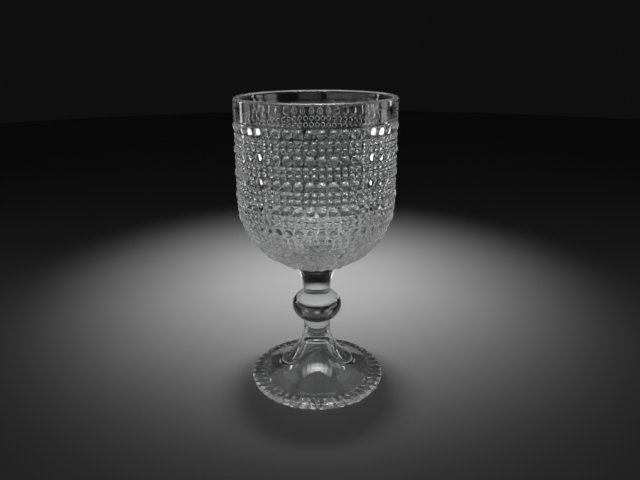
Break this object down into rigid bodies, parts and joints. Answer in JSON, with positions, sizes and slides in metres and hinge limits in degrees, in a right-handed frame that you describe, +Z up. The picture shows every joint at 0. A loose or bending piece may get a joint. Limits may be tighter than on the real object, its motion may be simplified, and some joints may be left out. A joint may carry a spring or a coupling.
{
  "type": "wine glass",
  "caption": "Stemmed glass for red wine in clear pressed glass, with rows of round beads on its bowl, a ball knop on the stem and a trumpet foot with a ribbed edge.",
  "frame": {"origin": "on the table under the centre of the foot", "axes": "+Z up along the glass's axis, from the foot to the lip; -Y to the front, where the picture was taken from; +X to the picture's right"},
  "size_m": [0.0866, 0.0866, 0.164],
  "materials": {
    "bowl": "polished",
    "upper_stem": "polished",
    "knop": "polished",
    "foot": "polished, slightly worn"
  },
  "bodies": {
    "root": {"bowl": "bowl", "upper_stem": "upper_stem", "knop": "knop", "foot": "foot"}
  },
  "joints": []
}
